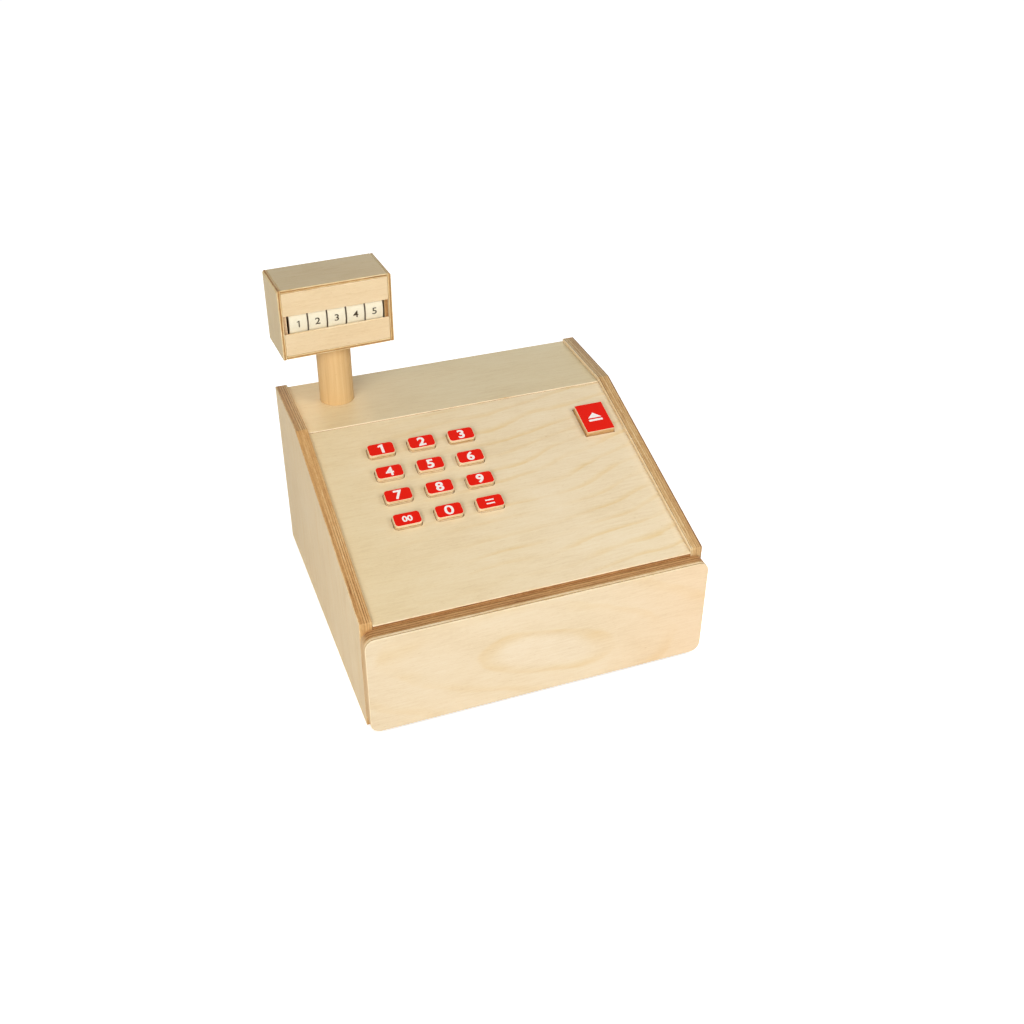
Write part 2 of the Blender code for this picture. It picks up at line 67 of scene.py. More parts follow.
label_thickness, print_thickness = 0.00015, 0.00006
label_size, label_radius = (0.0258, 0.0140), 0.0031
cash_label_size, cash_label_radius = (0.0300, 0.0375), 0.0008
key_lettering = {"height": 0.0110, "stroke": 0.25, "weight": 0.032, "widened": 1.1}
# What the figures of some keys have otherwise
other_lettering = {
    "00": {"height": 0.0070}, "=": {"height": 0.0057}, "0": {"weight": 0.016, "widened": 1.3},
    "4": {"weight": 0.018}, "1": {"widened": 1},
}
drum_lettering = {"height": 0.0070, "stroke": 0.14, "weight": 0.010, "widened": 1.16}
drum_count, drum_digits = 5, 10
# How far the figures stand under the middle of a drum's front, and how high the bands are that they bend in
drum_digit_drop, band_height = 0.0009, 0.0006

# Colours


def light_value(share):
    """The linear value of a screen value, both from 0 to 1, by the usual curve of screens."""
    return share / 12.92 if share <= 0.04045 else ((share + 0.055) / 1.055) ** 2.4


def colour(red, green, blue):
    """A screen colour, 0 to 255, as the values that a material takes."""
    return (light_value(red / 255), light_value(green / 255), light_value(blue / 255), 1)


def tint(red, green, blue):
    """What a colour's red, green and blue are multiplied by."""
    return (red, green, blue, 1)


def toned(woods, *shares):
    """The same wood with its red, green and blue scaled."""
    return [(*(value * share for value, share in zip(shade, shares)), 1) for shade in woods]


# Wood colours from dark to light. The edge's last colour is that of the pale face veneer

birch = (colour(214, 184, 136), colour(237, 215, 176), colour(247, 232, 203))
beech = (colour(196, 152, 98), colour(220, 183, 128), colour(232, 203, 154))
edge_woods = (
    colour(122, 78, 42), colour(180, 130, 80), colour(212, 168, 112), colour(230, 200, 152),
    colour(247, 228, 194),
)
edge_shades = (0, 0.3, 0.6, 0.82, 1)
end_wood = colour(230, 193, 142)

# Birch for each board: the tops' copies darker as painted shade, the sides' copy paler as painted light
slope_birch = toned(birch, 0.99, 1.01, 1.05)
shaded_top_birch = toned(birch, 0.875, 0.895, 0.84)
front_birch = toned(birch, 0.97, 0.98, 1.03)
side_birch = toned(birch, 1.06, 1.04, 1.02)
display_side_birch = toned(birch, 0.90, 0.89, 0.85)
shaded_display_top = toned(birch, 0.73, 0.71, 0.62)
strip_birch = toned(birch, 0.91, 0.88, 0.84)
cheek_birch = toned(birch, 0.56, 0.53, 0.45)
# The left cheek's birch is greyer and cooler: painted shade of the window's recess
shaded_left_cheek_birch = toned(birch, 0.66, 0.68, 0.74)
key_birch = toned(birch, 0.97, 0.97, 0.92)

# Tints of single boards

plain = tint(1, 1, 1)
display_edge_tint = tint(0.93, 0.96, 0.89)
front_edge_tint = tint(1.08, 1.15, 1.22)

# Over the veneer: the tint, where along the grain it is full, and where it has gone
veneer_drifts_and_painted_light = {
    # Painted light: the top board is paler and warmer beside the mast, as light that the mast throws back
    "top_board": (tint(1.38, 1.30, 1.22), -0.16, -0.08),
    "keypad_board": (tint(0.97, 0.95, 0.86), -0.15, 0.05),
    "drawer_front": (tint(1.07, 1.0, 0.96), 0.17, 0.04),
}
# Over all the edges
edge_tints = {
    # The left cheek's edge: greyer and cooler, as painted shade of the window's recess
    "left_cheek": tint(1.48, 2.0, 3.1),
    "right_cheek": tint(0.91, 0.95, 0.91),
    "left_side_panel": tint(1.0, 0.96, 0.87),
    "right_side_panel": tint(0.98, 1.05, 1.09),
    "drawer_front": tint(1.03, 1.04, 1.02),
    "keypad_board": tint(1.03, 1.04, 1.02),
}
# Painted shade: darker tints over the edges that face up, the display's right side's the darkest
level_edge_painted_shade = {
    "left_side_panel": tint(0.87, 0.90, 0.87),
    "right_side_panel": tint(0.84, 0.88, 0.90),
    "display_right_side": tint(0.60, 0.62, 0.60),
    "display_left_side": tint(0.86, 0.86, 0.86),
}

# Which way a surface faces, as the cosines between which it starts to count and counts in full

level_facing, forward_facing = (0.96, 0.99), (0.6, 0.9)
drawer_end_facing, drum_side_facing = (0.6, 1), (0.5, 0.8)
drawer_end_share = 0.8

# The layers of a board from its shown face inwards, as (depth in mm, shade from 0 dark to 1 pale)

layer_span = 0.016
left_panel_layers = (
    (0, 0.8), (1.0, 0.42), (2.1, 0.36), (3.3, 0.56), (5.0, 0.26), (5.6, 0.64), (7.3, 0.22), (7.9, 0.66),
    (9.4, 0.28), (10.0, 0.68), (11.1, 0.55),
)
right_panel_layers = (
    (0, 0.84), (0.7, 0.12), (1.2, 0.62), (2.6, 0.48), (4.4, 0.62), (6.0, 0.38), (6.5, 0.56), (8.2, 0.44),
    (9.4, 0.58), (10.6, 0.16),
)
drawer_layers = (
    (0, 1), (1.0, 0.34), (1.8, 0.9), (4.4, 0.44), (6.2, 0.2), (7.0, 0.4), (9.0, 0.2), (9.8, 0.42),
    (12.2, 0.14), (13.0, 0.38), (14.4, 0.52),
)
middle_layers = ((0, 1), (1.1, 0.4), (2.6, 0.3), (4.0, 0.5), (5.4, 0.3), (6.8, 0.5), (8.0, 1))
keypad_layers = ((0, 1), (0.8, 0.2), (2.0, 0.34), (3.4, 0.26), (4.8, 0.4), (6.4, 0.3), (8.0, 0.8))
thin_layers = ((0, 0.8), (1.1, 0.3), (2.4, 0.8))
cheek_layers = ((0, 0.4), (1.2, 0.28), (3.2, 0.45))
plain_layers = ((0, 0.93),)
key_layers = ((0, 1), (0.6, 0.84), (3.0, 0.2), (3.5, 0.86), (6.0, 0.5), (8.0, 0.8), (11.0, 0.5))
cash_layers = ((0, 0.95), (0.7, 0.6), (3.2, 0.5), (6.0, 0.6), (9.0, 0.5))

# The veneer's depth, and the glue lines between plies

veneer_depth = 0.00003
# How far one reaches before and after a layer's start, as shares of the span, and how much darker it is
glue_before, glue_after, glue_darkness = 0.006, 0.004, 0.22

# Where the plies of the side panels hardly differ, and the shade that they come near to there

calm_start, calm_full = -0.07, 0.0
forward_calm, calm_strength, calm_shade = 0.7, 0.8, 0.55

# Figures of the veneer

# The lines run round a centre, given along and across the grain. The squeeze stretches them along the grain.
# They begin at the first place of from_left, and have their full strength from the second
slope_figure = {
    "centre": (-0.05, 0.50), "turn": 0.10, "squeeze": 0.62, "pitch": 0.0165, "wave": 0.0065,
    "strength": 1.0, "from_left": (-0.14, 0.03),
}
loop_figure = {
    "centre": (0.0, 0.057), "turn": -0.22, "squeeze": 0.38, "pitch": 0.029, "wave": 0.007,
    "strength": 0.85, "from_left": (-0.3, -0.2), "heart": True,
}
quiet_figure = {
    "centre": (0.03, -0.35), "turn": 0.05, "squeeze": 0.3, "pitch": 0.016, "wave": 0.008,
    "strength": 0.5, "from_left": (-0.3, -0.2),
}
upright_figure = {
    "centre": (0.05, 0.30), "turn": 0.04, "squeeze": 0.2, "pitch": 0.018, "wave": 0.007,
    "strength": 0.45, "from_left": (-0.3, -0.2),
}
figure_tint = tint(0.96, 0.89, 0.73)
heart_tint = tint(1.03, 1.05, 1.10)

# The lines' noise in waves per metre, the ripple's reach, and where in a pitch a line rises and falls again

sway_waves, ripple_waves, patch_waves = (10, 17, 0), (70, 150, 0), (12, 34, 0)
ripple_reach = 0.0006
line_rise, line_fall, heart_fall = (0.58, 0.88), (0.9, 1), (0.45, 0.8)
faintest_patch, faintest_start = 0.15, 0.1
heart_line_fall, faintest_outer_line = (0.9, 1.3), 0.6

# Where the wood's tone lies before its noises, from 0 dark to 1 pale

middle_tone = 0.5

# Noises in the woods, as (waves per metre along three directions, seed, detail, roughness, share of the tone)

veneer_noises = {
    "fibres": ((45, 480, 0), 0, 4, 0.6, 0.12),
    "pores": ((260, 2400, 0), 3, 2, 0.55, 0.10),
    "clouds": ((14, 30, 0), 7, 3, 0.55, 0.10),
}
edge_noises = {
    "drift": ((10, 10, 330), 9, 2, 0.55, 0.12),
    "streaks": ((34, 34, 1500), 0, 4, 0.62, 0.12),
    "blotches": ((150, 150, 620), 13, 3, 0.55, 0.10),
    "fine": ((420, 420, 2600), 3, 2, 0.55, 0.07),
}
timber_noises = {"fibres": ((16, 700, 700), 4, 4, 0.6, 0.16)}
# Specks on edges, and their share of the tone along the grain and on its end
speck_noise = {"waves": (900, 900, 1200), "detail": 3, "rough": 0.6}
speck_seed, speck_share, end_speck_share = 5, 0.04, 0.12

# Sparse spots, as (waves, seed, detail, noise at which one starts, noise at which it is full, change of tone)

veneer_spots = (((170, 900, 0), 17, 1, 0.78, 1, -0.2),)
edge_spots = (((26, 26, 640), 21, 2, 0.45, 0.9, -0.3), ((240, 240, 1300), 27, 2, 0.6, 1, 0.2))
timber_spots = (((260, 1500, 1500), 8, 2, 0.6, 1, -0.3),)

# Growth rings of the beech, per metre, how far noise moves them, and how much they change the tone

beech_rings, ring_waves, ring_bend, ring_contrast = 160, (5, 22, 22), 0.7, 0.045

# Clouds over the fine grain of an even finish, and how far they change it to its other colour

broad_waves, broad_seed, broad_share = (60, 60, 60), 5, 0.4
change_reach, most_change = 0.6, 0.5

# Roughness of each finish at its smoothest and roughest, or how far it departs from the one that is given

veneer_roughness, beech_roughness, drum_roughness = (0.5, 0.64), (0.45, 0.6), 0.42
smoother, rougher = 0.05, 0.07

# How near points are joined, and how far an edge turns before it is crisp

weld_distance, crisp_angle = 0.00001, math.radians(40)

# Seeds: each piece has its own, this far from the one before

board_seed_step, timber_seed_step, key_seed_step = 17.3, 9.1, 7.7
first_key_seed, cash_key_seed = 300, 411

# Materials


class Graph:
    """A material's nodes. A call adds the nodes that it needs, and gives the output that has its result."""

    # Blender's noise lies mostly between these
    noise_low, noise_high = 0.25, 0.75

    def __init__(self, name):
        self.material = bpy.data.materials.new(name)
        self.material.use_nodes = True
        self.tree = self.material.node_tree
        self.shader = self.tree.nodes["Principled BSDF"]
        surface = self.tree.nodes.new("ShaderNodeTexCoord")
        self.place = surface.outputs["Object"]
        self.facing = surface.outputs["Normal"]

    def fill(self, socket, value):
        """Links an input to an output, or sets it to a value."""
        if isinstance(value, bpy.types.NodeSocket):
            self.tree.links.new(value, socket)
        else:
            socket.default_value = value

    def node(self, kind, inputs, **settings):
        """A node of a kind, with its settings made and its inputs filled."""
        made = self.tree.nodes.new("ShaderNode" + kind)
        for name, value in settings.items():
            setattr(made, name, value)
        for name, value in inputs.items():
            self.fill(made.inputs[name], value)
        return made

    def maths(self, operation, *values, **settings):
        return self.node("Math", dict(enumerate(values)), operation=operation, **settings).outputs[0]

    def add(self, *values):
        total = values[0]
        for value in values[1:]:
            total = self.maths("ADD", total, value)
        return total

    def clamped(self, *values):
        """The sum of some values, kept from 0 to 1."""
        return self.maths("ADD", self.add(*values[:-1]), values[-1], use_clamp=True)

    def less(self, first, second):
        return self.maths("SUBTRACT", first, second)

    def times(self, first, second):
        return self.maths("MULTIPLY", first, second)

    def along(self, vector, direction):
        """How far a vector reaches along a direction."""
        return self.node("VectorMath", {0: vector, 1: direction}, operation="DOT_PRODUCT").outputs["Value"]

    def faces(self, direction, start, full, both_ways=False, most=1):
        """How much the surface faces a direction, from 0 at the first cosine to the most at the second."""
        cosine = self.along(self.facing, direction)
        if both_ways:
            cosine = self.maths("ABSOLUTE", cosine)
        return self.ranged(cosine, start, full, 0, most)

    def noise(self, places, waves, seed=0, detail=3, rough=0.55):
        """Noise from -1 to 1 with its own waves per metre along each of three coordinates."""
        stretched = [self.times(value, scale) for value, scale in zip(places, waves)]
        stretched[2] = self.add(stretched[2], seed)
        place = self.node("CombineXYZ", dict(enumerate(stretched))).outputs[0]
        made = self.node("TexNoise", {"Vector": place, "Scale": 1, "Detail": detail, "Roughness": rough})
        return self.ranged(made.outputs[0], self.noise_low, self.noise_high, -1, 1)

    def noises(self, places, rows, seed):
        """The noises of a table by name, and a list of them times their shares."""
        found, parts = {}, []
        for name, (waves, own_seed, detail, rough, share) in rows.items():
            found[name] = self.noise(places, waves, seed + own_seed, detail, rough)
            parts.append(self.times(found[name], share))
        return found, parts

    def spots(self, places, rows, seed):
        """The changes of tone of a table of sparse spots."""
        return [
            self.ranged(self.noise(places, waves, seed + own_seed, detail), start, full, 0, change)
            for waves, own_seed, detail, start, full, change in rows
        ]

    def ranged(self, value, low, high, to_low=0, to_high=1, smooth=False):
        inputs = {"Value": value, "From Min": low, "From Max": high, "To Min": to_low, "To Max": to_high}
        kind = "SMOOTHSTEP" if smooth else "LINEAR"
        return self.node("MapRange", inputs, interpolation_type=kind).outputs[0]

    def mixed(self, share, first, second, blend="MIX"):
        """Two colours mixed. The node's sockets go by number, because its other kinds share their names."""
        inputs = {0: share, 6: first, 7: second}
        return self.node("Mix", inputs, data_type="RGBA", blend_type=blend).outputs[2]

    def mixed_value(self, share, first, second):
        return self.node("Mix", {0: share, 2: first, 3: second}).outputs[0]

    def tinted(self, base, by, share=1.0):
        return self.mixed(share, base, by, blend="MULTIPLY")

    def ramp(self, value, stops, stepped=False):
        """Colours along a value from 0 to 1, as (place, colour) pairs."""
        made = self.node("ValToRGB", {0: value})
        made.color_ramp.interpolation = "CONSTANT" if stepped else "LINEAR"
        elements = made.color_ramp.elements
        while len(elements) < len(stops):
            elements.new(1)
        for element, (place, shade) in zip(elements, stops):
            element.position = place
            element.color = shade
        return made.outputs[0]

    def wood_ramp(self, tone, woods):
        dark, middle, light = woods
        return self.ramp(tone, ((0, dark), (middle_tone, middle), (1, light)))

    def finish(self, base, roughness, height, relief=0.0001, strength=0.3, specular=0.3):
        """Gives the shader its colour, gloss and relief."""
        for name, value in (("Base Color", base), ("Roughness", roughness), ("Specular IOR Level", specular)):
            self.fill(self.shader.inputs[name], value)
        bump = self.node("Bump", {"Height": height, "Distance": relief, "Strength": strength})
        self.fill(self.shader.inputs["Normal"], bump.outputs[0])
        return self.material


def reach(node, direction):
    """How far a node's points lie along a direction, as lowest and highest."""
    places = [vertex.co.dot(direction) for vertex in frame["nodes"][node].data.vertices]
    return min(places), max(places)


def figure_lines(graph, u, v, figure, seed):
    """Thin growth lines round a centre, and the paler place inside the first, as strengths from 0 to 1."""
    places = (u, v, 0)
    du = graph.add(u, -figure["centre"][0])
    dv = graph.add(v, -figure["centre"][1])
    cosine, sine = math.cos(figure["turn"]), math.sin(figure["turn"])
    along = graph.times(graph.add(graph.times(du, cosine), graph.times(dv, sine)), figure["squeeze"])
    over = graph.add(graph.times(dv, cosine), graph.times(du, -sine))
    far = graph.maths("SQRT", graph.add(graph.times(along, along), graph.times(over, over)))
    sway = graph.times(graph.noise(places, sway_waves, seed, 1), figure["wave"])
    ripple = graph.times(graph.noise(places, ripple_waves, seed + 2, 2), ripple_reach)
    turns = graph.times(graph.add(far, sway, ripple), 1 / figure["pitch"])
    part = graph.maths("FRACT", turns)
    rising = graph.ranged(part, *line_rise, 0, 1, smooth=True)
    falling = graph.ranged(part, *line_fall, 1, 0, smooth=True)
    patches = graph.ranged(graph.noise(places, patch_waves, seed + 5, 2), -0.5, 0.5, faintest_patch, 1)
    begun = graph.ranged(u, *figure["from_left"], faintest_start, 1, smooth=True)
    strength = graph.times(graph.times(patches, begun), figure["strength"])
    if "heart" in figure:
        outer = graph.ranged(turns, *heart_line_fall, 1, faintest_outer_line, smooth=True)
        strength = graph.times(strength, outer)
    heart = graph.ranged(turns, *heart_fall, 1, 0, smooth=True)
    return graph.times(graph.times(rising, falling), strength), heart


def veneer(graph, u, v, woods, figure, seed):
    """Rotary-cut birch: fine fibres, pores, soft clouds and flecks, and the figure's darker lines. Gives a
    colour, and the pores for the relief."""
    places = (u, v, 0)
    found, parts = graph.noises(places, veneer_noises, seed)
    tone = graph.clamped(middle_tone, *parts, *graph.spots(places, veneer_spots, seed))
    face = graph.wood_ramp(tone, woods)
    if figure:
        lines, heart = figure_lines(graph, u, v, figure, seed + 11)
        face = graph.tinted(face, figure_tint, lines)
        if "heart" in figure:
            face = graph.tinted(face, heart_tint, heart)
    return face, found["pores"]


def layered_edge(graph, places, depth, layers, grain, seed, calm):
    """Sawn plies: each has its own shade, with glue lines between, runs of fibre along the edge, and specks
    that are stronger on end grain. Where the calm is high the plies hardly differ."""
    stops = []
    for start, shade in layers:
        place = start / 1000 / layer_span
        if start:
            stops.append((place - glue_before, (shade - glue_darkness, 0, 0, 1)))
        stops.append((place + glue_after, (shade, 0, 0, 1)))
    base = graph.along(graph.ramp(depth, stops, stepped=True), right)
    if calm is not None:
        base = graph.add(base, graph.times(graph.less(calm_shade, base), graph.times(calm, calm_strength)))
    found, parts = graph.noises(places, edge_noises, seed)
    specks = graph.noise(places, seed=seed + speck_seed, **speck_noise)
    end_on = graph.faces(grain, 0, 1, both_ways=True)
    speckle = graph.times(specks, graph.ranged(end_on, 0, 1, speck_share, end_speck_share))
    tone = graph.clamped(base, *parts, *graph.spots(places, edge_spots, seed), speckle)
    return graph.ramp(tone, list(zip(edge_shades, edge_woods))), found["streaks"]


def calm_plies(graph, node):
    """How little a side panel's plies differ: on its front edge, and the left one's also towards the back,
    save on its level top. The other boards have no such share."""
    if not node.endswith("side_panel"):
        return None
    calm = graph.times(graph.faces(-inward, *forward_facing), forward_calm)
    if node == "left_side_panel":
        behind = graph.ranged(graph.along(graph.place, inward), calm_start, calm_full, smooth=True)
        calm = graph.add(calm, graph.times(behind, graph.less(1, graph.faces(up, *level_facing))))
    return calm


def tinted_edge(graph, node, edge):
    """An edge with the tints of its board: over all of it, and where it faces up, sideways or forward. Where
    it faces up the tint is painted shade.
    """
    other_tint = display_edge_tint if node.startswith("display") else plain
    edge = graph.tinted(edge, edge_tints.get(node, other_tint))
    # Painted shade on the edges that face up
    if node in level_edge_painted_shade:
        edge = graph.tinted(edge, level_edge_painted_shade[node], graph.faces(up, *level_facing))
    if node == "drawer_front":
        ends = graph.faces(right, *drawer_end_facing, both_ways=True, most=drawer_end_share)
        edge = graph.mixed(ends, edge, end_wood)
    if node.endswith("side_panel"):
        edge = graph.tinted(edge, front_edge_tint, graph.faces(-inward, *forward_facing))
    return edge


def plywood(node, grain, normal, layers, woods, figure, seed):
    """Paints a board: veneer on its two faces, layers on its edges. The layers are counted from the face that
    the normal points out of. A drift tints the veneer towards one end of the grain; the top board's is
    painted light beside the mast."""
    graph = Graph(node + "_plywood")
    places = [graph.along(graph.place, direction) for direction in (grain, normal.cross(grain), normal)]
    u, v, w = places
    low, high = reach(node, normal)
    inside = graph.maths("MINIMUM", graph.less(high, w), graph.less(w, low))
    on_face = graph.maths("LESS_THAN", inside, veneer_depth)
    face, pores = veneer(graph, u, v, woods, figure, seed)
    # On the top board the drift is painted light, paler beside the mast
    if node in veneer_drifts_and_painted_light:
        drift, full, gone = veneer_drifts_and_painted_light[node]
        face = graph.tinted(face, graph.mixed(graph.ranged(u, full, gone), drift, plain))
    depth = graph.ranged(w, high, high - layer_span)
    edge, streaks = layered_edge(graph, places, depth, layers, grain, seed, calm_plies(graph, node))
    base = graph.mixed(on_face, tinted_edge(graph, node, edge), face)
    height = graph.mixed_value(on_face, streaks, pores)
    wear(node, graph.finish(base, graph.ranged(pores, -1, 1, *veneer_roughness), height))


def solid_wood(node, along, woods, seed):
    """Turned or sawn beech: growth rings seen as stripes along the piece, and fine dark flecks."""
    graph = Graph(node + "_wood")
    second = up if abs(along.dot(up)) < 0.5 else right
    second = (second - along * second.dot(along)).normalized()
    places = [graph.along(graph.place, direction) for direction in (along, second, along.cross(second))]
    bend = graph.noise(places, ring_waves, seed)
    turns = graph.add(graph.times(places[1], beech_rings), graph.times(bend, ring_bend))
    swing = graph.maths("PINGPONG", turns, 0.5)
    ring = graph.ranged(swing, 0, 0.5, -ring_contrast, ring_contrast, smooth=True)
    found, parts = graph.noises(places, timber_noises, seed)
    tone = graph.clamped(middle_tone, ring, *parts, *graph.spots(places, timber_spots, seed))
    fibres = found["fibres"]
    roughness = graph.ranged(fibres, -1, 1, *beech_roughness)
    wear(node, graph.finish(graph.wood_ramp(tone, woods), roughness, fibres, strength=0.15))


def speckled(name, base, other, roughness, grain=900, relief=0.00005, strength=0.2, specular=0.3, metallic=0):
    """A nearly even finish, such as print, foam or metal, with a fine change of shade."""
    graph = Graph(name)
    places = [graph.along(graph.place, direction) for direction in (right, inward, up)]
    fine = graph.noise(places, (grain, grain, grain), 0, 3, 0.6)
    broad = graph.noise(places, broad_waves, broad_seed, 2)
    cloudy = graph.add(graph.times(fine, 1 - broad_share), graph.times(broad, broad_share))
    share = graph.ranged(cloudy, -change_reach, change_reach, 0, most_change)
    graph.shader.inputs["Metallic"].default_value = metallic
    varied = graph.ranged(fine, -1, 1, roughness - smoother, roughness + rougher)
    return graph.finish(graph.mixed(share, base, other), varied, fine, relief, strength, specular)


def drum_paint():
    """Cream paint round the drums; bare brown wood on their flat sides, darkened as painted shade of the
    gaps.
    """
    graph = Graph("drum_paint")
    places = [graph.along(graph.place, direction) for direction in (display_right, display_inward, up)]
    fine = graph.noise(places, (500, 500, 500), 0, 3, 0.6)
    change = graph.ranged(fine, -1, 1)
    cream = graph.mixed(change, colour(237, 229, 205), colour(231, 222, 194))
    # Flat sides: bare wood, made darker as painted shade of the gaps between the drums
    bare_wood_and_gap_shade = graph.mixed(change, colour(96, 64, 34), colour(72, 46, 24))
    share = graph.faces(display_right, *drum_side_facing, both_ways=True)
    return graph.finish(graph.mixed(share, cream, bare_wood_and_gap_shade), drum_roughness, fine, relief=0.00004)


def wear(node, material):
    """Gives a CAD node its material, with round sides shaded smooth and flat ones kept flat."""
    obj = frame["nodes"][node]
    obj.data.materials.clear()
    obj.data.materials.append(material)
    normals = obj.data.attributes.get("custom_normal")
    if normals:
        obj.data.attributes.remove(normals)
    obj.data.shade_smooth()
    weld = obj.modifiers.new("joined_faces", "WELD")
    weld.merge_threshold = weld_distance
    split = obj.modifiers.new("crisp_edges", "EDGE_SPLIT")
    split.split_angle = crisp_angle
    flat = obj.modifiers.new("flat_faces", "WEIGHTED_NORMAL")
    flat.keep_sharp = True


# Boards, as (the grain's direction, where the shown face points, layers, woods, the veneer's figure)

boards = {
    "left_side_panel": (up, -right, left_panel_layers, side_birch, upright_figure),
    "right_side_panel": (up, -right, right_panel_layers, side_birch, upright_figure),
    "top_board": (right, up, middle_layers, shaded_top_birch, None),
    "keypad_board": (right, slope_normal, keypad_layers, slope_birch, slope_figure),
    "back_panel": (right, inward, middle_layers, side_birch, quiet_figure),
    "base_board": (right, -up, middle_layers, side_birch, quiet_figure),
    "key_shelf": (right, slope_normal, thin_layers, side_birch, None),
    "drawer_front": (right, -inward, drawer_layers, front_birch, loop_figure),
    "drawer_back": (right, inward, middle_layers, side_birch, quiet_figure),
    "drawer_left_side": (inward, -right, middle_layers, side_birch, quiet_figure),
    "drawer_right_side": (inward, right, middle_layers, side_birch, quiet_figure),
    "drawer_bottom": (right, up, thin_layers, side_birch, quiet_figure),
    "cross_divider": (right, -inward, thin_layers, side_birch, None),
    "latch_lever": (inward, right, thin_layers, side_birch, None),
    "display_left_side": (up, -display_right, thin_layers, display_side_birch, None),
    "display_right_side": (up, display_right, thin_layers, display_side_birch, None),
    "display_top": (display_right, up, thin_layers, shaded_display_top, None),
    "display_bottom": (display_right, -up, thin_layers, strip_birch, None),
    "left_cheek": (up, display_right, cheek_layers, shaded_left_cheek_birch, None),
    "right_cheek": (up, -display_right, cheek_layers, cheek_birch, None),
}
for name in ("coin_divider_1", "coin_divider_2", "coin_divider_3", "note_divider_1", "note_divider_2"):
    boards[name] = (inward, right, thin_layers, side_birch, None)
for name, outward in (("front", -display_inward), ("back", display_inward)):
    for level in ("upper", "lower"):
        boards[f"{name}_{level}_strip"] = (display_right, outward, plain_layers, strip_birch, None)
for index, (node, board) in enumerate(boards.items()):
    plywood(node, *board, index * board_seed_step)

# Solid wood, metal, foam and paint

for index, (node, along) in enumerate((
    ("mast_post", up), ("left_guide_strip", inward), ("right_guide_strip", inward), ("latch_spacer", right),
    ("spring_dowel", inward),
)):
    solid_wood(node, along, beech, index * timber_seed_step)

steel = speckled(
    "bright_steel", colour(196, 196, 192), colour(168, 168, 166), 0.28, specular=0.5, metallic=1,
)
foam = speckled(
    "grey_foam", colour(70, 70, 74), colour(44, 44, 48), 0.9, grain=1400, relief=0.0005, strength=0.9,
)
paint = drum_paint()
for node in ("latch_pin", "drawer_spring", "swivel_screw", "swivel_washer", "drum_axle"):
    wear(node, steel)
for node in ("key_return_pad", "cash_return_pad"):
    wear(node, foam)
for drum in range(1, drum_count + 1):
    wear(f"number_drum_{drum}", paint)

# Prints on the keys and drums

red_print = speckled("red_print", colour(234, 28, 8), colour(224, 18, 3), 0.36, grain=700, specular=0.14)
white_print = speckled("white_print", colour(252, 246, 240), colour(244, 236, 230), 0.4, grain=700)
grey_print = speckled("grey_print", colour(72, 61, 44), colour(54, 45, 31), 0.6, grain=700)


def on_body(obj, material, body):
    """Gives a print its material, and makes it ride on the body of its key or drum."""
    obj.data.materials.clear()
    obj.data.materials.append(material)
    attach(obj, body)


def placed(name, mesh, matrix):
    """An object of a mesh in the scene, at a place and turn."""
    obj = bpy.data.objects.new(name, mesh)
    bpy.context.scene.collection.objects.link(obj)
    obj.matrix_world = matrix
    bpy.context.view_layer.update()
    return obj


def raised(name, outlines, thickness):
    """A mesh of flat shapes, each an outline of (x, y) points, from Z = 0 up to a thickness."""
    mesh = bpy.data.meshes.new(name)
    shape = bmesh.new()
    for outline in outlines:
        face = shape.faces.new([shape.verts.new((x, y, 0)) for x, y in outline])
        extruded = bmesh.ops.extrude_face_region(shape, geom=[face])["geom"]
        lifted = [part for part in extruded if isinstance(part, bmesh.types.BMVert)]
        bmesh.ops.translate(shape, verts=lifted, vec=(0, 0, thickness))
    bmesh.ops.recalc_face_normals(shape, faces=shape.faces)
    shape.to_mesh(mesh)
    shape.free()
    return mesh


def one(stroke):
    """The figure 1, one unit high, with a flag that slopes down to the left from its top."""
    half = stroke / 2
    flag_reach, flag_thickness = 0.14 + 0.8 * stroke, 0.75 * stroke
    flag_height, flag_root = 0.87, 0.94
    return [
        (-half, 0), (half, 0), (half, 1), (-half / 2, 1), (-flag_reach, flag_height),
        (-flag_reach, flag_height - flag_thickness), (-half, flag_root - flag_thickness),
    ]


def bars(stroke):
    """The equals sign, one unit high."""
    half = 0.68
    return [
        [(-half, low), (half, low), (half, low + stroke), (-half, low + stroke)] for low in (0, 1 - stroke)
    ]


def written(text, weight):
    """A mesh of figures in Blender's own plain letters, made heavier by a weight."""
    curve = bpy.data.curves.new(text, "FONT")
    curve.body = text
    curve.offset = weight
    curve.extrude = 0.5
    curve.resolution_u = 8
    drawn = bpy.data.objects.new(text, curve)
    bpy.context.scene.collection.objects.link(drawn)
    graph = bpy.context.evaluated_depsgraph_get()
    mesh = bpy.data.meshes.new_from_object(drawn.evaluated_get(graph))
    bpy.data.objects.remove(drawn)
    return mesh


def lettering(text, height, stroke, weight, widened):
    """A flat mesh of figures with the print's thickness, centred on its own middle and standing along its own
    Y. The stroke is for 1 and the equals sign, which are drawn here, and the weight for the others."""
    if text == "1":
        mesh = raised(text, [one(stroke)], 1)
    elif text == "=":
        mesh = raised(text, bars(stroke), 1)
    else:
        mesh = written(text, weight)
    low = Vector([min(vertex.co[axis] for vertex in mesh.vertices) for axis in range(3)])
    high = Vector([max(vertex.co[axis] for vertex in mesh.vertices) for axis in range(3)])
    scale = height / (high.y - low.y)
    mesh.transform(Matrix.Translation(-(low + high) / 2))
    mesh.transform(Matrix.Diagonal((scale * widened, scale, print_thickness / (high.z - low.z), 1)))
    return mesh


